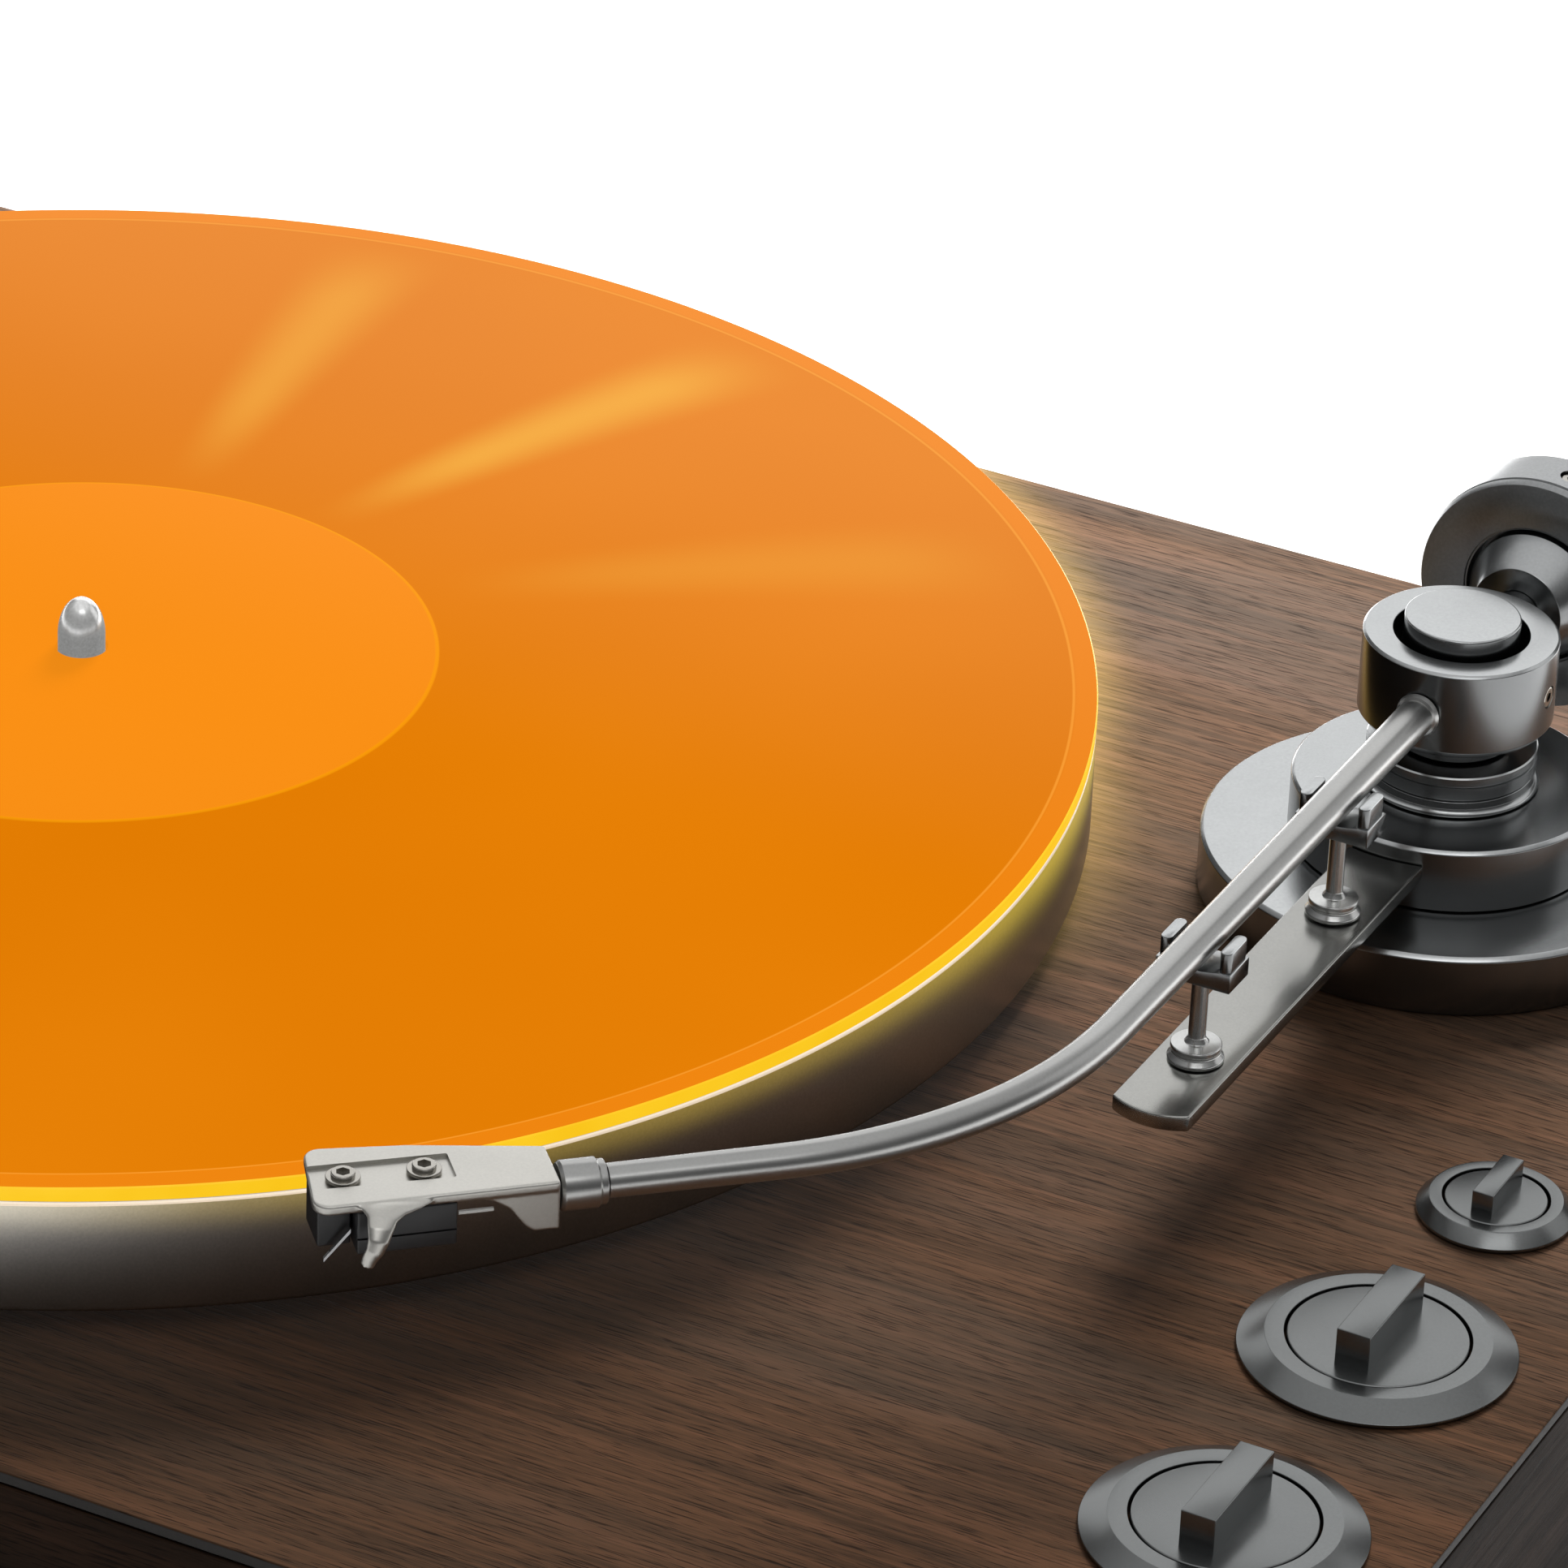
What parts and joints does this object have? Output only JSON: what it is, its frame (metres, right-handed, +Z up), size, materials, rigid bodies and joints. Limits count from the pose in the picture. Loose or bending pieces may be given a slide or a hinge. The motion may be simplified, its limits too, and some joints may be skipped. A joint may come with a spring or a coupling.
{
  "type": "record player",
  "caption": "Belt-driven record player: wooden plinth, metal platter with a translucent-look record, curved gimballed tonearm on a stepped base, arm rest and rotary controls.",
  "frame": {"origin": "middle of the plinth's footprint, on the plane the feet stand on", "axes": "+Z up, -Y out of the plinth's long front board, +X towards the tonearm side"},
  "size_m": [0.4144, 0.3234, 0.1173],
  "materials": {
    "walnut": "oiled walnut veneer",
    "black_board": "painted fibreboard",
    "rubber": "matte",
    "satin_metal": "satin",
    "dark_metal": "painted",
    "chrome": "polished",
    "brass": "turned",
    "orange_vinyl": "translucent orange vinyl",
    "black_plastic": "satin",
    "circuit_green": "lacquered board"
  },
  "bodies": {
    "base": {"top_board": "walnut", "front_board": "walnut", "rear_board": "walnut", "left_board": "walnut", "right_board": "walnut", "base_plate": "black_board", "foot_front_left": "rubber", "foot_front_right": "rubber", "foot_rear_left": "rubber", "foot_rear_right": "rubber", "platter_bearing": "brass", "thrust_ball": "chrome", "motor": "dark_metal", "drive_belt": "rubber", "arm_base_lower": "satin_metal", "arm_base_upper": "satin_metal", "arm_column": "satin_metal", "arm_locknut": "dark_metal", "rest_bar": "satin_metal", "rest_post_front": "satin_metal", "rest_post_rear": "satin_metal", "rest_cradle_front": "satin_metal", "rest_cradle_rear": "satin_metal", "bezel_front": "satin_metal", "bezel_middle": "satin_metal", "bezel_rear": "satin_metal", "switch_front": "black_plastic", "switch_middle": "black_plastic", "switch_rear": "black_plastic", "control_board": "circuit_green", "jack_plate": "black_plastic", "jack_left": "brass", "jack_right": "brass", "ground_post": "brass", "power_inlet": "black_plastic"},
    "platter_assembly": {"platter": "satin_metal", "sub_platter": "black_plastic", "spindle": "chrome"},
    "record_disc": {"record": "orange_vinyl"},
    "pulley": {"motor_pulley": "brass"},
    "yoke": {"pivot_yoke": "satin_metal"},
    "tonearm": {"pivot_housing": "satin_metal", "pivot_screw_left": "chrome", "pivot_screw_right": "chrome", "arm_tube": "satin_metal", "headshell_collar": "satin_metal", "headshell": "satin_metal", "cartridge": "black_plastic", "cartridge_screw_front": "chrome", "cartridge_screw_rear": "chrome", "stylus_holder": "black_plastic", "stylus": "chrome", "signal_lead": "brass", "counterweight_shaft": "satin_metal"},
    "weight": {"counterweight": "satin_metal", "counterweight_hub": "satin_metal", "counterweight_screw": "chrome"},
    "control_front": {"knob_front": "satin_metal"},
    "control_middle": {"knob_middle": "satin_metal"},
    "control_rear": {"knob_rear": "satin_metal"}
  },
  "joints": [
    {"name": "platter_spin", "type": "hinge", "parent": "base", "child": "platter_assembly", "pos_m": [-0.0485, -0.00125, 0.07], "axis": [0, 0, -1], "continuous": true},
    {"name": "record_lift_off", "type": "slide", "parent": "platter_assembly", "child": "record_disc", "axis": [0, 0, 1], "range_m": [0, 0.01]},
    {"name": "pulley_spin", "type": "hinge", "parent": "base", "child": "pulley", "pos_m": [-0.1037, 0.07235, 0.06], "axis": [0, 0, -1], "continuous": true},
    {"name": "arm_swing", "type": "hinge", "parent": "base", "child": "yoke", "pos_m": [0.1391, 0.07315, 0.09], "axis": [0, 0, -1], "range_deg": [0, 36], "deforming": ["rest_cradle_front", "rest_cradle_rear"]},
    {"name": "arm_lift", "type": "hinge", "parent": "yoke", "child": "tonearm", "pos_m": [0.1391, 0.07315, 0.099], "axis": [-1, 0, 0], "range_deg": [0, 8]},
    {"name": "counterweight_slide", "type": "slide", "parent": "tonearm", "child": "weight", "axis": [0, 1, 0], "range_m": [-0.001, 0.006]},
    {"name": "control_front_turn", "type": "hinge", "parent": "base", "child": "control_front", "pos_m": [0.1807, -0.09335, 0.062], "axis": [0, 0, -1], "range_deg": [0, 90]},
    {"name": "control_middle_turn", "type": "hinge", "parent": "base", "child": "control_middle", "pos_m": [0.1807, -0.04415, 0.062], "axis": [0, 0, -1], "range_deg": [-45, 45]},
    {"name": "control_rear_turn", "type": "hinge", "parent": "base", "child": "control_rear", "pos_m": [0.1807, -0.00375, 0.062], "axis": [0, 0, -1], "range_deg": [-135, 135]}
  ],
  "couplings": [
    {"joint": "pulley_spin", "follows": "platter_spin", "ratio": 8.5}
  ]
}
